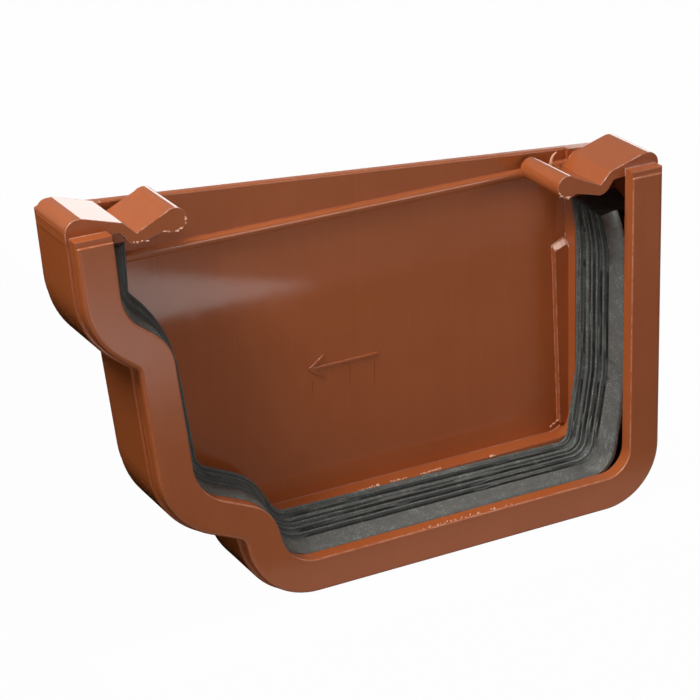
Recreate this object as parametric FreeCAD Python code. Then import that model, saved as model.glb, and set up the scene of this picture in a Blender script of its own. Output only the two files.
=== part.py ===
import FreeCAD, Part
import math
import os
from FreeCAD import Vector

# Left-hand stop end for a moulded ogee gutter: one moulded body with two snap
# clips, and one ribbed rubber seal that lies in the channel behind the front rim.
# X runs from the ogee front (-X) to the straight back wall (+X), +Y runs from
# the open side to the end plate, and +Z is up as the cap hangs on the gutter.

# Depths, measured back from the open face
depth = 20.0
rim_depth = 3.0
land_depth = 2.7
plate_thickness = 2.0

# Walls, measured inwards from the outline of the rims
wall = 2.4
wall_step = 0.6
rim_width = 7.2
land_width = 11.5
land_corner_r = 4.0
land_clear = 2.1

# Outline of the rims: back wall, base and ogee front
back_x = 62.0
base_z = 0.6
base_corner_r = 12.6
toe_x, toe_r = -29.1, 15.0
lower_step_x, lower_step_z, lower_step_r = -32.7, 15.7, 2.6
belly_x, belly_z, belly_r = -48.7, 22.8, 17.3
upper_step_x, upper_step_z, upper_step_r = -51.9, 55.3, 1.6
breast_x, breast_z, breast_r = -61.2, 62.6, 16.5
front_x = -62.3

# Heights of the two arms and of the plate between them
front_arm_z = 82.1
back_arm_z = 72.9
arm_ledge_drop = 1.2
arm_ledge_depth = 0.5
land_drop = 1.1
plate_front_z = 83.3
plate_back_z = 72.9

# Snap clips, one over each arm: sizes inwards from the wall and down from the crown
front_clip_rise = 3.2
back_clip_rise = 2.4
clip_shoulder_r = 2.4
clip_crown = 3.2
clip_fall, clip_fall_drop = 11.0, 2.3
clip_valley, clip_valley_drop = 13.5, 4.75
clip_bead, clip_bead_drop = 21.0, 3.7
clip_bead_r = 2.3
clip_neck, clip_neck_drop = 18.9, 5.4
clip_root_drop = 3.5
clip_thickness = 2.0

# Ribs inside the end plate
ridge_z = 70.45
ridge_height = 2.1
ridge_proud = 1.1
locator_width = 3.3
locator_foot = 2.0
locator_proud = 1.3
locator_top_z = 54.8
locator_bottom_z = 14.0
locator_bevel = 1.2

# Ribbed seal: a thin lip behind the rim, then ribs as (width, climb), of which
# the widths share what the lip leaves of the channel
seal_fit = 0.1
seal_lip_width = 4.0
seal_lip_thickness = 1.3
seal_lip_bevel = 0.6
seal_lip_climb = 0.8
seal_ribs = ((1.5, 0.5), (1.5, 0.6), (2.0, 1.0), (2.1, 0.9))
seal_groove_width = 0.6
seal_groove_depth = 1.3
seal_front_rise = 0.3
seal_crest_drop = 0.2
seal_front_end_z = 75.0
seal_back_end_z = 62.3
seal_lip_end_z = 64.6
seal_low_bend_z = 28.0
seal_high_bend_z = 56.0
seal_bend_r = 30.0

# How far the strip bridges away from the channel at each bend, as x and z
# shift and the change of radius, from the front arm down and round to the
# back arm: first along the edge of the lip, then along the crest
lip_bridge = [
    (1.0, 0.0, 0.0), (1.0, -0.3, 0.5), (0.1, 0.1, 0.0), (0.0, 0.0, 0.0), (0.0, 0.0, 0.0),
    (0.5, 0.2, 0.5), (-3.1, 0.1, -0.4), (0.3, 0.0, 0.0), (0.3, 0.0, 0.0), (-2.8, 0.0, 0.0),
]
crest_bridge = [
    (5.5, 0.0, 0.0), (3.0, -3.3, -3.7), (1.7, -4.2, 17.1), (2.6, -3.6, -2.5), (-1.4, -2.1, 0.1),
    (0.9, 0.7, 0.0), (-2.6, -0.7, 0.7), (0.0, 0.0, 0.0), (0.0, 0.0, 0.0), (-1.2, 0.0, 0.0),
]

# Edge rounding of the moulding
rim_fillet = 1.0
rim_inner_fillet = 0.3
arm_fillet = 0.25
step_chamfer = 0.25
top_fillet = 0.4

clear_z = 110.0


def corners():
    """Corner points of the outline, from the front arm down and round to the
    back arm, as (x, z, radius, bulge) with bulge +1 out and -1 in."""
    lean = (front_x - breast_x) / (front_arm_z - breast_z)
    return [
        (breast_x + lean * (clear_z - breast_z), clear_z, 0.0, 1),
        (breast_x, breast_z, breast_r, 1),
        (upper_step_x, upper_step_z, upper_step_r, -1),
        (belly_x, belly_z, belly_r, 1),
        (lower_step_x, lower_step_z, lower_step_r, -1),
        (toe_x, base_z, toe_r, 1),
        (back_x, base_z, base_corner_r, 1),
        (back_x, clear_z, 0.0, 1),
    ]


def shifted(points, inset):
    """Move every side of the open outline inwards and meet them again."""
    sides = []
    for (ax, az, _, _), (bx, bz, _, _) in zip(points, points[1:]):
        length = math.hypot(bx - ax, bz - az)
        nx, nz = (az - bz) / length, (bx - ax) / length
        sides.append((nx, nz, nx * ax + nz * az + inset))
    first, last = points[0], points[-1]
    out = [((sides[0][2] - sides[0][1] * first[1]) / sides[0][0], first[1])]
    for (ax, az, ac), (bx, bz, bc) in zip(sides, sides[1:]):
        det = ax * bz - az * bx
        out.append(((ac * bz - az * bc) / det, (ax * bc - ac * bx) / det))
    out.append(((sides[-1][2] - sides[-1][1] * last[1]) / sides[-1][0], last[1]))
    return out


def inner_line(inset):
    """Corner points of the outline moved inwards, with the radii that are left."""
    points = corners()
    return [
        (x, z, radius - bulge * inset, bulge)
        for (x, z), (_, _, radius, bulge) in zip(shifted(points, inset), points)
    ]


def bent(line, shifts):
    return [
        (x + dx, z + dz, radius + dr, bulge)
        for (x, z, radius, bulge), (dx, dz, dr) in zip(line, shifts)
    ]


def outline(points, inset, y):
    """Closed wire of the outline moved inwards, in the plane at depth y."""
    places = shifted(points, inset)
    edges = []
    here = Vector(places[0][0], y, places[0][1])
    for i in range(1, len(places) - 1):
        x, z = places[i]
        radius = points[i][2] - points[i][3] * inset
        corner = Vector(x, y, z)
        before = Vector(places[i - 1][0], y, places[i - 1][1]) - corner
        after = Vector(places[i + 1][0], y, places[i + 1][1]) - corner
        before.normalize()
        after.normalize()
        half = before.getAngle(after) / 2
        bisector = before + after
        bisector.normalize()
        reach = radius / math.tan(half)
        start, end = corner + before * reach, corner + after * reach
        centre = corner + bisector * (radius / math.sin(half))
        edges.append(Part.makeLine(here, start))
        edges.append(Part.Arc(start, centre - bisector * radius, end).toShape())
        here = end
    top = Vector(places[-1][0], y, places[-1][1])
    edges.append(Part.makeLine(here, top))
    edges.append(Part.makeLine(top, edges[0].Vertexes[0].Point))
    return Part.Wire(edges)


def land_edge():
    """Inner edge of the land: below the seal's crest along the ogee, level with
    the wall of the front arm, and at its own width along the base and back."""
    level = [crest_bridge[1]] + crest_bridge[1:]
    behind_seal = bent(inner_line(land_width - land_clear), level)
    own_width = [
        (x, z, max(radius, land_corner_r), bulge)
        for x, z, radius, bulge in inner_line(land_width)
    ]
    toe = corners().index((toe_x, base_z, toe_r, 1))
    return behind_seal[:toe] + own_width[toe:]


def slab(points, inset, y0, y1):
    face = Part.Face(outline(points, inset, y0))
    return face.extrude(Vector(0, y1 - y0, 0))


def ruled(wire0, wire1):
    return Part.makeLoft([wire0, wire1], True, True)


def above(front_z, back_z, y0, y1):
    """Everything over the two arm heights, to be cut away."""
    size = 2 * clear_z
    front = Part.makeBox(size, y1 - y0, size, Vector(-size, y0, front_z))
    back = Part.makeBox(size, y1 - y0, size, Vector(0, y0, back_z))
    return front.fuse(back)


def above_ends(front, back):
    """Everything over the two ends of the seal. The end at the back arm dips
    at the first groove and stands up towards both edges."""
    size = 2 * clear_z
    points = [
        Vector(0, front, seal_lip_end_z),
        Vector(0, front + seal_lip_width, seal_back_end_z),
        Vector(0, back, seal_lip_end_z),
        Vector(0, back, size),
        Vector(0, front, size),
    ]
    face = Part.Face(Part.makePolygon(points + [points[0]]))
    level = Part.makeBox(size, back - front, size, Vector(-size, front, seal_front_end_z))
    return face.extrude(Vector(size, 0, 0)).fuse(level)


def under_lip(lip_line):
    """The hollow between the seal's lip and the channel floor."""
    front, back = rim_depth, rim_depth + seal_fit + seal_lip_width - seal_groove_width
    return slab(corners(), 0, front, back).cut(slab(lip_line, -seal_lip_thickness, front, back))


def above_plate(y0, y1):
    """Everything over the sloping top edge of the end plate."""
    slope = (plate_back_z - plate_front_z) / (back_x - front_x)
    far = 2 * clear_z
    points = [
        Vector(-far, y0, plate_front_z + slope * (-far - front_x)),
        Vector(far, y0, plate_front_z + slope * (far - front_x)),
        Vector(far, y0, far),
        Vector(-far, y0, far),
    ]
    face = Part.Face(Part.makePolygon(points + [points[0]]))
    return face.extrude(Vector(0, y1 - y0, 0))


def on_wire(shape, wire):
    """Edges of the shape that lie along the wire."""
    found = []
    for edge in shape.Edges:
        middle = edge.valueAt((edge.FirstParameter + edge.LastParameter) / 2)
        spots = [middle] + [vertex.Point for vertex in edge.Vertexes]
        if all(Part.Vertex(spot).distToShape(wire)[0] < 1e-3 for spot in spots):
            found.append(edge)
    return found


def arm_edges(rim):
    """The front edges of the two arms' ends and of the ledge in front of each."""
    found = []
    for edge in rim.Edges:
        ends = [vertex.Point for vertex in edge.Vertexes]
        for arm_z in (front_arm_z, back_arm_z):
            for y, z in ((arm_ledge_depth, arm_z), (0, arm_z - arm_ledge_drop)):
                if all(abs(end.y - y) < 1e-6 and abs(end.z - z) < 1e-6 for end in ends):
                    found.append(edge)
    return found


def top_edges(plate):
    """The long edges of the end plate's sloping top, front and back."""
    slope = (plate_back_z - plate_front_z) / (back_x - front_x)
    found = []
    for edge in plate.Edges:
        ends = [vertex.Point for vertex in edge.Vertexes]
        drops = [abs(plate_front_z + slope * (end.x - front_x) - end.z) for end in ends]
        if len(ends) == 2 and max(drops) < 1e-6 and abs(ends[0].x - ends[1].x) > back_x:
            found.append(edge)
    return found


def clip(wall_x, inward, crown_z):
    """Wave-shaped clip: shoulder, fall, valley and a round bead at its end."""

    def at(u, down):
        return Vector(wall_x + inward * u, rim_depth, crown_z - down)

    shoulder = clip_shoulder_r * (1 - math.sqrt(0.5))
    root, thick = clip_root_drop, clip_thickness
    path = [
        at(clip_shoulder_r, 0),
        at(clip_crown, 0),
        at(clip_fall, clip_fall_drop),
        at(clip_valley, clip_valley_drop),
        at(clip_bead - 0.5 * clip_bead_r, clip_bead_drop - 0.82 * clip_bead_r),
        at(clip_bead - 0.2 * clip_bead_r, clip_bead_drop + 0.88 * clip_bead_r),
        at(clip_neck, clip_neck_drop),
        at(clip_valley + 0.2 * thick, clip_valley_drop + thick),
        at(clip_valley - thick, clip_valley_drop + 0.4 * thick),
        at(clip_fall - 0.3 * thick, clip_fall_drop + 0.9 * thick),
        at(wall, root),
        at(wall, root + thick / 2),
        at(0, root + thick / 2),
        at(0, clip_shoulder_r),
    ]
    heel = at(clip_valley - 0.55 * thick, clip_valley_drop + 0.85 * thick)
    edges = [Part.makeLine(a, b) for a, b in zip(path, path[1:])]
    edges[7] = Part.Arc(path[7], heel, path[8]).toShape()
    edges.append(Part.Arc(path[-1], at(shoulder, shoulder), path[0]).toShape())
    length = depth - 2 * rim_depth
    strap = Part.Face(Part.Wire(edges)).extrude(Vector(0, length, 0))
    roll = Part.makeCylinder(clip_bead_r, length, at(clip_bead, clip_bead_drop), Vector(0, 1, 0))
    return strap.fuse(roll)


def make_ridge():
    """Half-round bar across the inside of the end plate."""
    face_y = depth - plate_thickness
    x = front_x
    low, high = ridge_z - ridge_height / 2, ridge_z + ridge_height / 2
    sunk = plate_thickness / 4
    edges = [
        Part.Arc(Vector(x, face_y, low), Vector(x, face_y - ridge_proud, ridge_z), Vector(x, face_y, high)).toShape(),
        Part.makeLine(Vector(x, face_y, high), Vector(x, face_y + sunk, high)),
        Part.makeLine(Vector(x, face_y + sunk, high), Vector(x, face_y + sunk, low)),
        Part.makeLine(Vector(x, face_y + sunk, low), Vector(x, face_y, low)),
    ]
    bar = Part.Face(Part.Wire(edges)).extrude(Vector(back_x - front_x, 0, 0))
    return bar.common(slab(corners(), (wall + land_width) / 2, rim_depth, depth))


def make_locator():
    """Upright rib beside the back wall that guides the gutter's end, with a
    bevelled tip and a foot that narrows."""
    face_y = depth - plate_thickness
    side = back_x - land_width
    front_y = face_y - locator_proud
    outline_points = [
        Vector(side, front_y, locator_bottom_z),
        Vector(side, front_y, locator_top_z - locator_bevel / 3),
        Vector(side - locator_bevel / 2, front_y, locator_top_z),
        Vector(side - locator_width, front_y, locator_top_z - locator_bevel),
        Vector(side - locator_foot, front_y, locator_bottom_z),
    ]
    face = Part.Face(Part.makePolygon(outline_points + [outline_points[0]]))
    rib = face.extrude(Vector(0, locator_proud + plate_thickness / 4, 0))
    tips = [
        edge for edge in rib.Edges
        if all(abs(v.Y - front_y) < 1e-6 and v.Z > locator_top_z - locator_bevel - 1e-6 for v in edge.Vertexes)
    ]
    return rib.makeChamfer(locator_bevel * 0.75, tips)


def make_body():
    rims = corners()
    land_line = land_edge()
    wall_end = depth - rim_depth
    land_front = wall_end - land_depth
    plate_face = depth - plate_thickness
    inner_wall = wall - wall_step
    front_crown = front_arm_z + front_clip_rise
    back_crown = back_arm_z + back_clip_rise
    front_wall_x = front_x - wall_step

    rim = slab(rims, 0, 0, rim_depth).cut(slab(rims, rim_width, -1, rim_depth + 1))
    rim = rim.cut(above(front_arm_z, back_arm_z, -1, rim_depth + 1))
    rim = rim.makeFillet(rim_fillet, on_wire(rim, outline(rims, 0, 0)))
    rim = rim.makeFillet(rim_inner_fillet, on_wire(rim, outline(rims, rim_width, 0)))
    rim = rim.cut(above(front_arm_z - arm_ledge_drop, back_arm_z - arm_ledge_drop, -1, arm_ledge_depth))
    rim = rim.makeFillet(arm_fillet, arm_edges(rim))

    shell = slab(rims, -wall_step, rim_depth, wall_end)
    shell = shell.cut(slab(rims, inner_wall, rim_depth - 1, wall_end + 1))
    shell = shell.cut(above(front_crown - clip_shoulder_r, back_crown - clip_shoulder_r, rim_depth - 1, wall_end + 1))
    shell_edges = on_wire(shell, outline(rims, -wall_step, rim_depth))
    shell_edges += on_wire(shell, outline(rims, -wall_step, wall_end))
    shell = shell.makeChamfer(step_chamfer, shell_edges)

    land = slab(rims, inner_wall, land_front, wall_end)
    land = land.cut(slab(land_line, 0, land_front - 1, wall_end + 1))
    land = land.cut(above(front_arm_z - land_drop, back_arm_z - land_drop, land_front - 1, wall_end + 1))

    plate = slab(rims, 0, wall_end, depth)
    plate = plate.cut(slab(land_line, 0, wall_end - 1, plate_face))
    plate = plate.cut(above_plate(wall_end - 1, depth + 1))
    plate = plate.makeFillet(rim_fillet, on_wire(plate, outline(rims, 0, depth)))
    plate = plate.makeFillet(top_fillet, top_edges(plate))

    clips = [clip(front_wall_x, 1, front_crown), clip(back_x + wall_step, -1, back_crown)]
    body = rim.multiFuse([shell, land, plate, make_ridge(), make_locator()] + clips)
    return body.removeSplitter()


def seal_line(inset, bridge):
    """Corner points of a line along the seal: the outline moved inwards, with
    two more bends up the back wall, and shifted where the strip bridges."""
    line = inner_line(inset)
    wall_x = line[-1][0]
    line[-1:] = [
        (wall_x, seal_low_bend_z, seal_bend_r, 1),
        (wall_x, seal_high_bend_z, seal_bend_r, 1),
        (wall_x, seal_lip_end_z, 0.0, 1),
    ]
    line = bent(line, bridge)
    (x0, z0, _, _), (x1, z1, _, _) = line[-2:]
    line[-1] = (x0 + (x1 - x0) * (clear_z - z0) / (z1 - z0), clear_z, 0.0, 1)
    return line


def between(line0, line1, share):
    return [
        (x0 + (x1 - x0) * share, z0 + (z1 - z0) * share, r0 + (r1 - r0) * share, bulge)
        for (x0, z0, r0, bulge), (x1, z1, r1, _) in zip(line0, line1)
    ]


def make_seal():
    """Rubber strip bent round the channel: a thin lip and ribs that climb
    towards the end plate, with a groove in front of each rib."""
    lip_line = seal_line(rim_width + seal_front_rise, lip_bridge)
    crest_line = seal_line(land_width - seal_crest_drop, crest_bridge)
    front = rim_depth + seal_fit
    back = depth - rim_depth - land_depth - seal_fit
    strip = slab(corners(), wall - wall_step + seal_fit, front, back)

    climb = seal_lip_climb + sum(rib_climb for _, rib_climb in seal_ribs)
    room = (back - front - seal_lip_width) / sum(rib_width for rib_width, _ in seal_ribs)
    y, risen = front + seal_lip_width, seal_lip_climb
    edge = front + seal_lip_bevel
    hollows = [
        ruled(outline(lip_line, -seal_lip_bevel, front - seal_fit), outline(lip_line, 0, edge)),
        ruled(outline(lip_line, 0, edge), outline(between(lip_line, crest_line, risen / climb), 0, y)),
    ]
    for rib_width, rib_climb in seal_ribs:
        low = between(lip_line, crest_line, risen / climb)
        high = between(lip_line, crest_line, (risen + rib_climb) / climb)
        hollows.append(slab(low, -seal_groove_depth, y, y + seal_groove_width))
        hollows.append(ruled(outline(low, 0, y), outline(high, 0, y + room * rib_width)))
        y += room * rib_width
        risen += rib_climb
    strip = strip.cut(hollows + [above_ends(front, back), under_lip(lip_line)])
    return strip.removeSplitter()


def main():
    os.makedirs("parts", exist_ok=True)
    pieces = {"cap_body": make_body(), "seal": make_seal()}
    box = pieces["cap_body"].optimalBoundingBox(False, False)
    to_base_centre = Vector(-box.Center.x, -box.Center.y, -box.ZMin)
    for name, piece in pieces.items():
        piece.translate(to_base_centre)
        piece.exportStep("parts/" + name + ".step")
        print(name, piece.isValid(), len(piece.Solids), "solids", len(piece.Faces), "faces",
              round(piece.Volume, 1), "mm3", piece.BoundBox)


main()
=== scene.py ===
import math
import random

import bpy
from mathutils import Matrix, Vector


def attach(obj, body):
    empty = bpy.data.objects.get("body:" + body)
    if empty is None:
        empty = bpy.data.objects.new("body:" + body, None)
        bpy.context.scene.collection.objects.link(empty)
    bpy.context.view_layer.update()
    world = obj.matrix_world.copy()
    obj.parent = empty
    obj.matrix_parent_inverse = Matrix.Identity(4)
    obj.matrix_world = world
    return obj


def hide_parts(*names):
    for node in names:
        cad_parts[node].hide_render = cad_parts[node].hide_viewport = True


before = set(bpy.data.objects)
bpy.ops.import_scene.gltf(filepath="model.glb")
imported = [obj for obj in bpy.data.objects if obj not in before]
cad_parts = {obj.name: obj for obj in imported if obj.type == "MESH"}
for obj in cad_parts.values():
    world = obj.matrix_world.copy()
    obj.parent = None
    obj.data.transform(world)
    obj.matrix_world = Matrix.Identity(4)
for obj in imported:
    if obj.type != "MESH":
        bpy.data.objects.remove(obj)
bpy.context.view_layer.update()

# Left-hand stop end of a moulded ogee gutter: a caramel-brown body with two snap
# clips, and a ribbed rubber seal. All lengths are metres in the frame of the CAD.

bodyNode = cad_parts["cap_body"]
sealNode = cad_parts["seal"]
tolerance = 1e-6


# Small helpers for selection and objects

def deselectAll():
    if bpy.context.object and bpy.context.object.mode != "OBJECT":
        bpy.ops.object.mode_set(mode="OBJECT")
    bpy.ops.object.select_all(action="DESELECT")


def makeActive(piece):
    deselectAll()
    piece.select_set(True)
    bpy.context.view_layer.objects.active = piece


def applyModifiers(piece):
    makeActive(piece)
    for modifier in list(piece.modifiers):
        bpy.ops.object.modifier_apply(modifier=modifier.name)


def applyPlace(piece):
    makeActive(piece)
    bpy.ops.object.transform_apply(location=True, rotation=True, scale=True)


def selectFaces(piece, test):
    # leaves edit mode on, with only the faces that pass the test selected
    makeActive(piece)
    bpy.ops.object.mode_set(mode="EDIT")
    bpy.ops.mesh.select_mode(type="FACE")
    bpy.ops.mesh.select_all(action="DESELECT")
    bpy.ops.object.mode_set(mode="OBJECT")
    for face in piece.data.polygons:
        face.select = test(face)
    bpy.ops.object.mode_set(mode="EDIT")


def selectVertices(piece, test):
    # leaves edit mode on, with only the points that pass the test selected
    makeActive(piece)
    bpy.ops.object.mode_set(mode="EDIT")
    bpy.ops.mesh.select_mode(type="VERT")
    bpy.ops.mesh.select_all(action="DESELECT")
    bpy.ops.object.mode_set(mode="OBJECT")
    for point in piece.data.vertices:
        point.select = test(point)
    bpy.ops.object.mode_set(mode="EDIT")


def joined(pieces):
    deselectAll()
    for piece in pieces:
        piece.select_set(True)
    bpy.context.view_layer.objects.active = pieces[0]
    bpy.ops.object.join()
    return pieces[0]


def copied(piece):
    twin = piece.copy()
    twin.data = piece.data.copy()
    bpy.context.scene.collection.objects.link(twin)
    return twin


def finishPiece(piece):
    deselectAll()
    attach(piece, "root")


# Shader maths as plain expressions

class Wire:
    # one socket of a node tree, with the signs of ordinary maths
    def __init__(self, nodes, socket):
        self.nodes, self.socket = nodes, socket

    def math(self, operation, first, second):
        return self.nodes.add("ShaderNodeMath", {"operation": operation}, {0: first, 1: second})

    def __add__(self, other):
        return self.math("ADD", self, other)

    def __sub__(self, other):
        return self.math("SUBTRACT", self, other)

    def __rsub__(self, other):
        return self.math("SUBTRACT", other, self)

    def __mul__(self, other):
        return self.math("MULTIPLY", self, other)

    def power(self, other):
        return self.math("POWER", self, other)

    def over(self, other):
        return self.math("GREATER_THAN", self, other)

    def atMost(self, other):
        return self.math("MINIMUM", self, other)

    def size(self):
        return self.math("ABSOLUTE", self, 0.0)

    __radd__ = __add__
    __rmul__ = __mul__


class Nodes:
    # the node tree of a material or a world
    def __init__(self, owner):
        owner.use_nodes = True
        self.tree = owner.node_tree
        self.tree.nodes.clear()

    def add(self, kind, settings=None, sockets=None, out=0):
        # out is the output that comes back, or a tuple of several
        node = self.tree.nodes.new(kind)
        for name, value in (settings or {}).items():
            setattr(node, name, value)
        for name, value in (sockets or {}).items():
            if isinstance(value, Wire):
                self.tree.links.new(value.socket, node.inputs[name])
            else:
                node.inputs[name].default_value = value
        if isinstance(out, tuple):
            return [Wire(self, node.outputs[name]) for name in out]
        return Wire(self, node.outputs[out]) if node.outputs else None

    def place(self):
        return self.add("ShaderNodeTexCoord", out="Object")

    def axes(self, vector):
        return self.add("ShaderNodeSeparateXYZ", None, {"Vector": vector}, (0, 1, 2))

    def rays(self):
        return self.add("ShaderNodeLightPath", out=("Is Camera Ray", "Is Glossy Ray", "Is Transmission Ray"))

    def stretched(self, vector, scale, turn=(0, 0, 0)):
        return self.add("ShaderNodeMapping", None, {"Vector": vector, "Scale": scale, "Rotation": turn})

    def noise(self, vector, scale, detail=2.0, roughness=0.5):
        return self.add("ShaderNodeTexNoise", None,
                        {"Vector": vector, "Scale": scale, "Detail": detail, "Roughness": roughness})

    def ramp(self, value, low, high):
        # 0 below low, 1 above high, smooth between
        return self.add("ShaderNodeMapRange", {"interpolation_type": "SMOOTHSTEP"},
                        {"Value": value, "From Min": low, "From Max": high})

    def rounded(self, radius, samples=6):
        # the normal as if the edges were rounded
        return self.add("ShaderNodeBevel", {"samples": samples}, {"Radius": radius})

    def band(self, value, rise, fall):
        # 1 between the end of the rise and the start of the fall, 0 outside both
        return self.ramp(value, *rise) * (1.0 - self.ramp(value, *fall))

    def mixColour(self, share, first, second):
        def full(colour):
            return colour if isinstance(colour, Wire) else (*colour, 1)
        return self.add("ShaderNodeMix", {"data_type": "RGBA"},
                        {"Factor": share, 6: full(first), 7: full(second)}, out=2)

    def finish(self, shader, kind="ShaderNodeOutputMaterial"):
        self.add(kind, None, {"Surface": shader})


def newMaterial(name):
    material = bpy.data.materials.new(name)
    return material, Nodes(material)


def dress(piece, material):
    piece.data.materials.clear()
    piece.data.materials.append(material)


# Caramel moulding

mouldingLook = {
    "colour": (0.43, 0.111, 0.032),
    "deepColour": (0.39, 0.098, 0.027), "deepRamp": (0.35, 1.0), "flowShare": 0.35,
    "scratchColour": (0.55, 0.19, 0.085), "scratchShare": 0.35, "scratchRamp": (0.66, 0.80),
    # colour of the painted edge highlights
    "paintedHighlightColour": (0.90, 0.60, 0.47),
    "roughness": 0.075, "mottleRoughness": 0.06, "flowRoughness": 0.04,
    "rimRoughness": 0.22,
    "ior": 1.46,
    "mottle": (60.0, 3.0, 0.6),                 # scale, detail and roughness of a noise
    "grain": (1500.0, 2.0, 0.6),
    "peel": (260.0, 2.0, 0.5),
    # breaks the painted edge highlights into dashes
    "highlightBreaks": (420.0, 3.0, 0.7),
    "flowStretch": (700, 60, 14),               # flow lines that run down the plate
    "scratchStretch": (2600, 900, 60), "scratchTurn": (0, 0.12, 0),
    "bumpStrength": 0.06, "bumpDistance": 0.0002,
    "peelHeight": 0.5, "grainHeight": 0.10, "flowHeight": 0.12,
    "edgeRadius": 0.00028,
}

# where pale edge highlights are painted into the colour, and how strongly: places in metres, depths in
# millimetres from the middle towards the open face
edgeHighlightLook = {
    "radius": 0.00045,
    "edgeRise": (0.16, 0.34), "edgeFall": (0.66, 0.84),     # how far an edge has turned to the front
    "gaps": (0.36, 0.56),
    "rimRise": (8.2, 9.2), "rimFrom": 8.4,
    "outerFillet": (9.70, 9.78), "innerFillet": (8.4, 8.8),
    "rimShare": 0.28,
    "clipsFrom": 6.0, "leftClipAbove": 0.0765, "rightClipAbove": 0.0665,
    "leftWallX": -0.0585, "leftWallAbove": 0.0815,
    "clipShare": 0.85,
    "locatorX": (0.0455, 0.0490), "locatorTop": 0.0545, "plateTo": -6.0,
    "locatorShare": 0.5,
    "tipX": 0.0462, "tipZ": (0.0530, 0.0558), "tipBehind": 0.005,
    "tipRise": (0.3, 0.5), "tipFall": (0.9, 0.97),
    "tipShare": 0.8,
}


def paintedEdgeHighlights(nodes, place):
    # share of painted highlight: pale lines on the rim's and the clips' front edges and the locator rib, and
    # a pale tip on the rib
    look = edgeHighlightLook
    x, y, z = nodes.axes(place)
    depth = -1000.0 * y
    rounded = nodes.rounded(look["radius"])
    facing = -1.0 * nodes.axes(rounded)[1]
    offFillet = nodes.ramp(depth, *look["outerFillet"]) + (1.0 - nodes.ramp(depth, *look["innerFillet"]))
    highlightBreaks = nodes.ramp(nodes.noise(place, *mouldingLook["highlightBreaks"]), *look["gaps"])
    onRim = depth.over(look["rimFrom"])
    leftClip = z.over(look["leftClipAbove"]) * x.over(look["leftWallX"]) + z.over(look["leftWallAbove"])
    onClips = ((1.0 - onRim) * depth.over(look["clipsFrom"]) * z.over(look["rightClipAbove"])
               * (x.over(0.0) + leftClip).atMost(1.0))
    left, right = look["locatorX"]
    onLocator = (x.over(left) * (1.0 - x.over(right)) * (1.0 - z.over(look["locatorTop"]))
                 * (1.0 - depth.over(look["plateTo"])))
    share = look["rimShare"] * onRim + look["clipShare"] * onClips + look["locatorShare"] * onLocator
    edges = nodes.band(facing, look["edgeRise"], look["edgeFall"]) * offFillet * highlightBreaks * share
    low, high = look["tipZ"]
    onTip = x.over(look["tipX"]) * z.over(low) * (1.0 - z.over(high)) * y.over(look["tipBehind"])
    tip = look["tipShare"] * onTip * nodes.band(facing, look["tipRise"], look["tipFall"])
    return (edges.atMost(1.0) + tip).atMost(1.0)


def makeMoulding():
    look = mouldingLook
    material, nodes = newMaterial("caramelMoulding")
    place = nodes.place()
    depth = -1000.0 * nodes.axes(place)[1]
    mottle = nodes.noise(place, *look["mottle"])
    grain = nodes.noise(place, *look["grain"])
    peel = nodes.noise(place, *look["peel"])
    flow = nodes.noise(nodes.stretched(place, look["flowStretch"]), 1.0)
    along = nodes.stretched(place, look["scratchStretch"], look["scratchTurn"])
    scratches = nodes.noise(along, 1.0, roughness=0.6)
    pale = nodes.ramp(mottle + look["flowShare"] * flow, *look["deepRamp"])
    colour = nodes.mixColour(pale, look["deepColour"], look["colour"])
    scratched = look["scratchShare"] * nodes.ramp(scratches, *look["scratchRamp"])
    colour = nodes.mixColour(scratched, colour, look["scratchColour"])
    # painted highlights on the edges, mixed into the colour
    colour = nodes.mixColour(paintedEdgeHighlights(nodes, place), colour, look["paintedHighlightColour"])
    onRim = nodes.ramp(depth, *edgeHighlightLook["rimRise"])
    roughness = (look["roughness"] + look["mottleRoughness"] * (mottle - 0.5)
                 + look["flowRoughness"] * (flow - 0.5)
                 + (look["rimRoughness"] - look["roughness"]) * onRim)
    relief = look["peelHeight"] * peel + look["grainHeight"] * grain + look["flowHeight"] * flow
    softEdge = nodes.rounded(look["edgeRadius"])
    bump = nodes.add("ShaderNodeBump", None, {
        "Strength": look["bumpStrength"], "Distance": look["bumpDistance"],
        "Height": relief, "Normal": softEdge})
    nodes.finish(nodes.add("ShaderNodeBsdfPrincipled", None, {
        "Base Color": colour, "Roughness": roughness, "IOR": look["ior"], "Normal": bump}))
    return material


# Rubber of the seal

rubberLook = {
    "colour": (0.088, 0.092, 0.085),
    "lipColour": (0.104, 0.106, 0.098), "lipEdge": (-0.0030, -0.0028),
    "dustAndGlintColour": (0.26, 0.27, 0.24), "scuffRamp": (0.48, 0.71),
    # painted shade in the grooves and at the top of the back run
    "paintedShadeColour": (0.010, 0.011, 0.010), "grooveSoft": 0.3, "darkest": 0.75,
    "roughness": 0.68,
    "ior": 1.5,
    "speckle": (3400.0, 2.0, 0.7),              # scale, detail and roughness of a noise
    "scuff": (420.0, 3.0, 0.65),
    "speckleShare": 0.62, "scuffShare": 0.38,
    # painted highlight: pale glints along the rib bends near the bottom corner
    "glintStretch": (500, 5200, 500), "glintRamp": (0.48, 0.62), "glintShare": 0.45,
    "glintBend": (0.0500, 0.0130), "glintReach": (0.0021, 0.0070),
    "shadedEnd": (0.0585, 0.0635), "endShare": 0.6,
    "bumpStrength": 0.5, "bumpDistance": 0.0002,
    "grooves": (                                # depth in the cap and half width
        (-0.0026, 0.00030), (-0.0011, 0.00030), (0.0004, 0.00030), (0.0024, 0.00030),
        (-0.0019, 0.00008), (-0.0004, 0.00008), (0.0014, 0.00009), (0.0031, 0.00008)),
}


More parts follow.
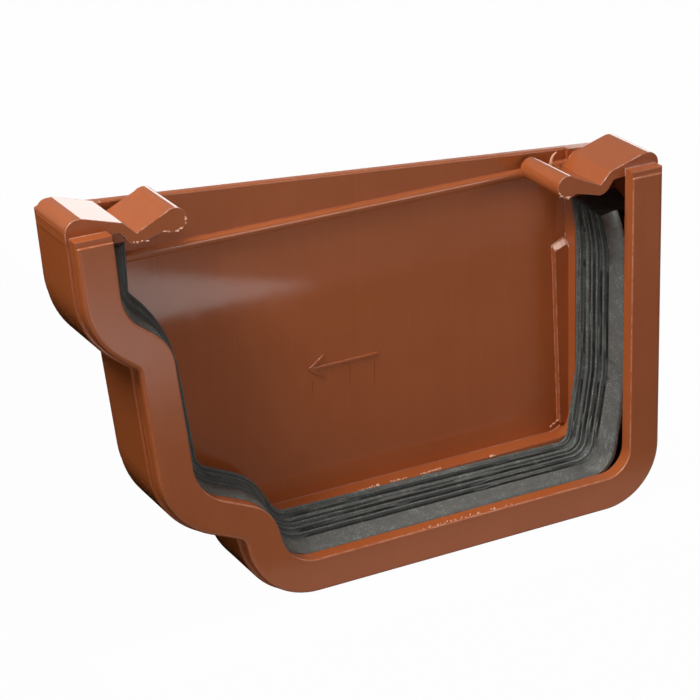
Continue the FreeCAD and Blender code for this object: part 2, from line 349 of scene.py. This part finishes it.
def makeRubber():
    look = rubberLook
    material, nodes = newMaterial("sealRubber")
    place = nodes.place()
    x, y, z = nodes.axes(place)
    speckle = nodes.noise(place, *look["speckle"])
    scuff = nodes.noise(place, *look["scuff"])
    glints = nodes.noise(nodes.stretched(place, look["glintStretch"]), 1.0, roughness=0.6)
    onLip = 1.0 - nodes.ramp(y, *look["lipEdge"])
    # painted highlight: glints on the rib bends, given the same pale colour as the dust
    bendX, bendZ = look["glintBend"]
    fromBend = ((x - bendX) * (x - bendX) + (z - bendZ) * (z - bendZ)).power(0.5)
    onBend = (1.0 - nodes.ramp(fromBend, *look["glintReach"])) * nodes.ramp(glints, *look["glintRamp"])
    dust = nodes.ramp(look["speckleShare"] * speckle + look["scuffShare"] * scuff, *look["scuffRamp"])
    # painted shade: the top of the back run and the grooves are darkened as if in shadow
    endShade = look["endShare"] * nodes.ramp(z, *look["shadedEnd"]) * x.over(0.0) * (1.0 - onLip)
    inside, outside = 1.0 - look["grooveSoft"], 1.0 + look["grooveSoft"]
    shadedGrooves = sum(1.0 - nodes.ramp((y - middle).size(), inside * half, outside * half)
                   for middle, half in look["grooves"])
    colour = nodes.mixColour(onLip, look["colour"], look["lipColour"])
    colour = nodes.mixColour((dust + look["glintShare"] * onBend).atMost(1.0), colour, look["dustAndGlintColour"])
    colour = nodes.mixColour((shadedGrooves + endShade).atMost(look["darkest"]), colour, look["paintedShadeColour"])
    bump = nodes.add("ShaderNodeBump", None, {
        "Strength": look["bumpStrength"], "Distance": look["bumpDistance"], "Height": speckle})
    nodes.finish(nodes.add("ShaderNodeBsdfPrincipled", None, {
        "Base Color": colour, "Roughness": look["roughness"], "IOR": look["ior"], "Normal": bump}))
    return material


# Flash: the same plastic, thin and crazed, so paler

flashLook = {"colour": (0.80, 0.47, 0.32), "roughness": 0.4}


def makeFlashPlastic():
    material, nodes = newMaterial("paleFlash")
    nodes.finish(nodes.add("ShaderNodeBsdfPrincipled", None, {
        "Base Color": (*flashLook["colour"], 1), "Roughness": flashLook["roughness"]}))
    return material


moulding = makeMoulding()
paleFlash = makeFlashPlastic()
rubber = makeRubber()
dress(bodyNode, moulding)
print("materials ready")


# Seal strip: the CAD seal with its ribs made uneven, as soft rubber lies

sealDetails = {
    "merge": 0.000002,
    "sliceStep": 0.0016,
    "backRunFrom": 0.0135, "backRunTo": 0.062, "backRunX": 0.046,
    "baseRunFrom": -0.018, "baseRunTo": 0.046, "baseRunZ": 0.014,
    "fineGrooves": (-0.0021, -0.0006, 0.0012, 0.0029, 0.0036),
    "fineWidth": 0.00017, "fineDepth": 0.00048, "steep": 0.9,
    "heart": (0.0, 0.0, 0.050),
    "waveSize": 0.0042, "waveHeight": 0.00020, "waveDepth": 2,
    "smoothAngle": 32,
    "seatClearance": 0.0004, "freeDistance": 0.0022,
}


def makeSeal():
    strip = sealNode.copy()
    strip.data = sealNode.data.copy()
    for key in list(strip.keys()):
        del strip[key]
    strip.parent = None
    strip.name = "sealStrip"
    bpy.context.scene.collection.objects.link(strip)
    makeActive(strip)
    bpy.ops.object.mode_set(mode="EDIT")
    bpy.ops.mesh.select_all(action="SELECT")
    bpy.ops.mesh.remove_doubles(threshold=sealDetails["merge"])
    bpy.ops.object.mode_set(mode="OBJECT")

    def sliceRun(test, normal, start, end):
        # cuts one straight run of the strip into short lengths
        count = int((end - start) / sealDetails["sliceStep"])
        for i in range(1, count):
            at = start + (end - start) * i / count
            selectFaces(strip, test)
            bpy.ops.mesh.bisect(plane_co=Vector(normal) * at, plane_no=normal)
            bpy.ops.object.mode_set(mode="OBJECT")

    sliceRun(lambda face: face.center.x > sealDetails["backRunX"], (0, 0, 1),
             sealDetails["backRunFrom"], sealDetails["backRunTo"])
    sliceRun(lambda face: face.center.z < sealDetails["baseRunZ"], (1, 0, 0),
             sealDetails["baseRunFrom"], sealDetails["baseRunTo"])

    heart = Vector(sealDetails["heart"])
    for groove in sealDetails["fineGrooves"]:
        for side in (-1, 0, 1):
            selectFaces(strip, lambda face: face.normal.dot(heart - face.center) > 0)
            level = groove + side * sealDetails["fineWidth"]
            bpy.ops.mesh.bisect(plane_co=(0, level, 0), plane_no=(0, 1, 0))
            bpy.ops.object.mode_set(mode="OBJECT")
        selectVertices(strip, lambda point: (abs(point.co.y - groove) < tolerance
                                             and abs(point.normal.y) < sealDetails["steep"]
                                             and point.normal.dot(heart - point.co) > 0))
        bpy.ops.transform.shrink_fatten(value=-sealDetails["fineDepth"])
        bpy.ops.object.mode_set(mode="OBJECT")

    group = strip.vertex_groups.new(name="free")
    group.add(range(len(strip.data.vertices)), 1.0, "REPLACE")
    loose = strip.modifiers.new("looseRibs", "VERTEX_WEIGHT_PROXIMITY")
    loose.vertex_group = "free"
    loose.target = bodyNode
    loose.proximity_mode = "GEOMETRY"
    loose.proximity_geometry = {"FACE"}
    loose.min_dist = sealDetails["seatClearance"]
    loose.max_dist = sealDetails["freeDistance"]
    clouds = bpy.data.textures.new("ribWaves", "CLOUDS")
    clouds.noise_scale = sealDetails["waveSize"]
    clouds.noise_depth = sealDetails["waveDepth"]
    wave = strip.modifiers.new("wave", "DISPLACE")
    wave.texture = clouds
    wave.vertex_group = "free"
    wave.texture_coords = "LOCAL"
    wave.strength = sealDetails["waveHeight"]
    applyModifiers(strip)
    bpy.ops.object.shade_smooth_by_angle(angle=math.radians(sealDetails["smoothAngle"]))
    dress(strip, rubber)
    finishPiece(strip)
    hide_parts("seal")
    return strip


sealStrip = makeSeal()
print("seal strip", len(sealStrip.data.polygons), "faces")


# Raised arrow in the middle of the plate, of bars with rounded tops

arrowDetails = {
    "plateY": 0.008, "sunk": 0.0002, "proud": 0.00028, "stroke": 0.0006,
    "tail": 0.0066, "tip": -0.0086, "level": 0.0392,
    "headLength": 0.0042, "headTurn": 36, "bevel": 0.00014, "smoothAngle": 50,
}


def makeBar(length, centre, turn=0.0, pivot=None):
    # one stroke along x, laid on the plate and turned about y at the pivot
    look = arrowDetails
    bpy.ops.mesh.primitive_cube_add(size=1, location=centre)
    bar = bpy.context.object
    bpy.ops.transform.resize(value=(length, look["proud"] + look["sunk"], look["stroke"]))
    if turn:
        bpy.ops.transform.rotate(value=math.radians(turn), orient_axis="Y", center_override=pivot)
    applyPlace(bar)
    return bar


def makeArrow():
    look = arrowDetails
    y = look["plateY"] + (look["sunk"] - look["proud"]) / 2
    middle = (look["tail"] + look["tip"]) / 2
    tip = (look["tip"], y, look["level"])
    arrow = makeBar(look["tail"] - look["tip"], (middle, y, look["level"]))
    for side in (-1, 1):
        centre = (look["tip"] + look["headLength"] / 2 - look["stroke"] / 2, y, look["level"])
        head = makeBar(look["headLength"], centre, side * look["headTurn"], tip)
        weld = arrow.modifiers.new("weld", "BOOLEAN")
        weld.operation, weld.solver, weld.object = "UNION", "EXACT", head
        applyModifiers(arrow)
        bpy.data.objects.remove(head)
    front = look["plateY"] - look["proud"]
    selectFaces(arrow, lambda face: face.center.y < front + 10 * tolerance)
    bpy.ops.mesh.region_to_loop()
    bpy.ops.mesh.bevel(offset=look["bevel"], segments=2, profile=0.5, clamp_overlap=True)
    bpy.ops.object.mode_set(mode="OBJECT")
    bpy.ops.object.shade_smooth_by_angle(angle=math.radians(look["smoothAngle"]))
    arrow.name = "plateArrow"
    dress(arrow, moulding)
    finishPiece(arrow)


makeArrow()
print("arrow")


# Hair-thin drag marks that run down the plate under the arrow

dragMarks = {
    "width": 0.00012, "proud": 0.00006, "taper": (0.25, 0.25, 1),
    "places": ((-0.0081, 0.0364, 0.0334), (0.0003, 0.0382, 0.0337), (0.0058, 0.0376, 0.0325)),
}


def makeDragMarks():
    plateY = arrowDetails["plateY"]
    marks = []
    for x, top, bottom in dragMarks["places"]:
        bpy.ops.mesh.primitive_cube_add(size=1, location=(x, plateY, (top + bottom) / 2))
        bpy.ops.transform.resize(value=(dragMarks["width"], 2 * dragMarks["proud"], top - bottom))
        mark = bpy.context.object
        applyPlace(mark)
        selectVertices(mark, lambda point: point.co.z < bottom + tolerance)
        bpy.ops.transform.resize(value=dragMarks["taper"], center_override=(x, plateY, bottom))
        bpy.ops.object.mode_set(mode="OBJECT")
        marks.append(mark)
    scores = joined(marks)
    scores.name = "dragMarks"
    dress(scores, moulding)
    finishPiece(scores)


makeDragMarks()


# Curl of flash at the root of the back clip

curlDetails = {
    "start": (0.0470, 0.0062, 0.0702), "width": 0.0013, "thickness": 0.00034,
    "turns": 8, "stepAngle": 15, "step": 0.00056, "heading": 136,
    "taper": (0.92, 0.84, 0.92), "smoothAngle": 40,
}


def makeCurl():
    look = curlDetails
    bpy.ops.mesh.primitive_cube_add(size=1, location=look["start"])
    bpy.ops.transform.resize(value=(look["thickness"], look["width"], look["thickness"]))
    curl = bpy.context.object
    applyPlace(curl)
    top = look["start"][2] + look["thickness"] / 2
    selectFaces(curl, lambda face: face.center.z > top - tolerance)
    heading = math.radians(look["heading"])
    for i in range(look["turns"]):
        step = Vector((math.cos(heading), 0, math.sin(heading))) * look["step"]
        bpy.ops.mesh.extrude_region_move(TRANSFORM_OT_translate={"value": step})
        bpy.ops.transform.resize(value=look["taper"])
        heading -= math.radians(look["stepAngle"])
    bpy.ops.object.mode_set(mode="OBJECT")
    bpy.ops.object.shade_smooth_by_angle(angle=math.radians(look["smoothAngle"]))
    curl.name = "flashCurl"
    dress(curl, paleFlash)
    finishPiece(curl)


makeCurl()
print("drag marks and curl")


# Crumbs of flash that the trimmed edges of the ledge and the rim have kept

crumbDetails = {
    "seed": 7,
    "size": (0.00010, 0.00024), "length": (0.8, 2.2), "height": (0.6, 1.2),
    "roughen": {"offset": 0.35, "uniform": 0.5, "normal": 0.3},
    "rows": (                                   # start, end and count, along the edges
        ((-0.0090, 0.0044, 0.0121), (-0.0070, 0.0044, 0.0121), 4),
        ((-0.0005, 0.0044, 0.0121), (0.0045, 0.0045, 0.0121), 16),
        ((0.0070, 0.0045, 0.0121), (0.0108, 0.0046, 0.0121), 18),
        ((0.0140, 0.0045, 0.0121), (0.0186, 0.0046, 0.0121), 20),
        ((0.0300, 0.0042, 0.0121), (0.0318, 0.0042, 0.0121), 4),
        ((0.0060, -0.0096, 0.0079), (0.0190, -0.0096, 0.0079), 14),
        ((0.0190, -0.0096, 0.0079), (0.0270, -0.0096, 0.0079), 5),
        ((0.0466, 0.0072, 0.0137), (0.0481, 0.0066, 0.0150), 6),
        ((-0.0570, -0.0096, 0.0806), (-0.0551, -0.0096, 0.0802), 7),
        ((-0.0503, -0.0070, 0.0790), (-0.0468, -0.0070, 0.0788), 6),
        ((-0.0440, -0.0070, 0.0798), (-0.0429, -0.0070, 0.0795), 5),
        ((-0.0418, -0.0070, 0.0793), (-0.0401, -0.0070, 0.0800), 9),
        ((-0.0397, -0.0070, 0.0804), (-0.0395, -0.0070, 0.0819), 5),
        ((0.0396, -0.0070, 0.0708), (0.0404, -0.0070, 0.0698), 5),
        ((0.0408, -0.0070, 0.0695), (0.0424, -0.0070, 0.0695), 6),
    ),
    "spread": 0.00012,
}


def makeCrumbs():
    look = crumbDetails
    chance = random.Random(look["seed"])
    bpy.ops.mesh.primitive_ico_sphere_add(subdivisions=1, radius=1, location=(0, 0, 0))
    crumb = bpy.context.object
    bpy.ops.object.mode_set(mode="EDIT")
    bpy.ops.mesh.select_all(action="SELECT")
    bpy.ops.transform.vertex_random(seed=look["seed"], **look["roughen"])
    bpy.ops.object.mode_set(mode="OBJECT")
    crumbs = []
    for start, end, count in look["rows"]:
        for i in range(count):
            twin = copied(crumb)
            along = (i + chance.random()) / count
            twin.location = [a + (b - a) * along + chance.uniform(-1, 1) * look["spread"]
                             for a, b in zip(start, end)]
            size = chance.uniform(*look["size"])
            length, height = chance.uniform(*look["length"]), chance.uniform(*look["height"])
            twin.scale = (size * length, size, size * height)
            twin.rotation_euler = [chance.uniform(0, math.tau) for axis in range(3)]
            crumbs.append(twin)
    bpy.data.objects.remove(crumb)
    flash = joined(crumbs)
    applyPlace(flash)
    flash.name = "flashCrumbs"
    dress(flash, paleFlash)
    finishPiece(flash)


makeCrumbs()
print("crumbs")


# Floor, lamps and camera

studio = {
    "floorSize": 3.0, "floorLevel": -0.00005,
    "floorColour": (0.45, 0.45, 0.45),
    "floorWhite": 0.985,            # what the camera sees of the floor, the rest keeps the shadow
    "floorGlossWhite": 0.05,
    "worldGlossWhite": 0.35,
    "cardLevel": 0.0002,
    "lampAim": (0, 0, 0.04),
}

# cards that lie on the floor round the object: white ones glow, black ones take light away
cards = {
    "bounceCard": {"corners": ((-0.06, -0.1225), (0.058, -0.1205), (0.006, -0.168), (-0.06, -0.230)),
                   "glow": 2.8},
    "nearCard": {"corners": ((-0.06, -0.023), (0.09, -0.023), (0.09, -0.0105), (-0.03, -0.0105)),
                 "glow": 0.62},
    "frontFlag": {"corners": ((-0.25, -0.118), (0.25, -0.118), (0.25, -0.025), (-0.25, -0.025)),
                  "glow": 0.22},
    "leftFlag": {"corners": ((-0.50, -0.03), (-0.066, -0.03), (-0.066, -0.010), (-0.026, -0.010),
                             (-0.026, 0.014), (0.0, 0.014), (0.0, 0.50), (-0.50, 0.50)),
                 "glow": 0.0},
}


def glow(nodes, strength):
    return nodes.add("ShaderNodeEmission", None, {"Color": (1, 1, 1, 1), "Strength": strength})


def makeFloor():
    bpy.ops.mesh.primitive_plane_add(size=studio["floorSize"], location=(0, 0, studio["floorLevel"]))
    floor = bpy.context.object
    floor.name = "floor"
    applyPlace(floor)
    material, nodes = newMaterial("paleFloor")
    diffuse = nodes.add("ShaderNodeBsdfDiffuse", None, {"Color": (*studio["floorColour"], 1)})
    seen, glossy, through = nodes.rays()
    share = studio["floorWhite"] * (seen + through) + studio["floorGlossWhite"] * glossy
    nodes.finish(nodes.add("ShaderNodeMixShader", None, {0: share, 1: diffuse, 2: glow(nodes, 1.0)}))
    dress(floor, material)


def makeCards():
    for name, look in cards.items():
        mesh = bpy.data.meshes.new(name)
        corners = [(x, y, studio["cardLevel"]) for x, y in look["corners"]]
        mesh.from_pydata(corners, [], [range(len(corners))])
        card = bpy.data.objects.new(name, mesh)
        card.visible_camera = False
        bpy.context.scene.collection.objects.link(card)
        material, nodes = newMaterial(name)
        nodes.finish(glow(nodes, look["glow"]))
        dress(card, material)


def makeWorld():
    # white to the camera and through glass, dim in reflections, and no light of its own
    world = bpy.data.worlds.new("studioWorld")
    bpy.context.scene.world = world
    nodes = Nodes(world)
    seen, glossy, through = nodes.rays()
    strength = (seen + studio["worldGlossWhite"] * glossy + through).atMost(1.0)
    nodes.finish(nodes.add("ShaderNodeBackground", None, {"Color": (1, 1, 1, 1), "Strength": strength}),
                 "ShaderNodeOutputWorld")


lamps = {
    "keyLeft": {"place": (-0.62, -0.10, 1.04), "size": (0.50, 0.50), "radiance": 5.2},
    "topFront": {"place": (-0.12, -0.58, 1.08), "size": (0.20, 0.15), "radiance": 9.0},
    "leftFront": {"place": (-0.95, -0.56, 0.46), "size": (0.45, 0.75), "radiance": 1.6},
    "rightFront": {"place": (0.62, -1.03, 0.28), "size": (0.45, 0.40), "radiance": 4.4},
    "backBank": {"place": (0.72, 1.02, 0.17), "size": (1.30, 0.36), "radiance": 2.4},
    "nearLeft": {"place": (-0.25, -0.05, 0.42), "size": (0.14, 0.14), "radiance": 21.0},
    "overhead": {"place": (0.0, 0.05, 1.10), "size": (0.50, 0.50), "radiance": 2.1},
}


def makeLamps():
    for name, lamp in lamps.items():
        data = bpy.data.lights.new(name, "AREA")
        data.shape = "RECTANGLE"
        data.size, data.size_y = lamp["size"]
        data.energy = lamp["radiance"] * math.pi * data.size * data.size_y
        lampObject = bpy.data.objects.new(name, data)
        lampObject.location = lamp["place"]
        towards = Vector(studio["lampAim"]) - Vector(lamp["place"])
        lampObject.rotation_euler = towards.to_track_quat("-Z", "Y").to_euler()
        lampObject.visible_camera = False
        bpy.context.scene.collection.objects.link(lampObject)


cameraSpot = {
    "place": (-0.211832, -0.401558, 0.236695),
    "turn": (67.02737, 1.82222, -28.17673),
    "lens": 130.716,
    "sensor": 36.0,
    "clip": (0.01, 10.0),
}


def makeCamera():
    data = bpy.data.cameras.new("camera")
    data.lens = cameraSpot["lens"]
    data.sensor_width = cameraSpot["sensor"]
    data.clip_start, data.clip_end = cameraSpot["clip"]
    camera = bpy.data.objects.new("camera", data)
    camera.location = cameraSpot["place"]
    camera.rotation_euler = [math.radians(angle) for angle in cameraSpot["turn"]]
    bpy.context.scene.collection.objects.link(camera)
    bpy.context.scene.camera = camera


makeFloor()
makeCards()
makeWorld()
makeLamps()
makeCamera()
bpy.context.scene.view_settings.view_transform = "Standard"
print("studio ready")
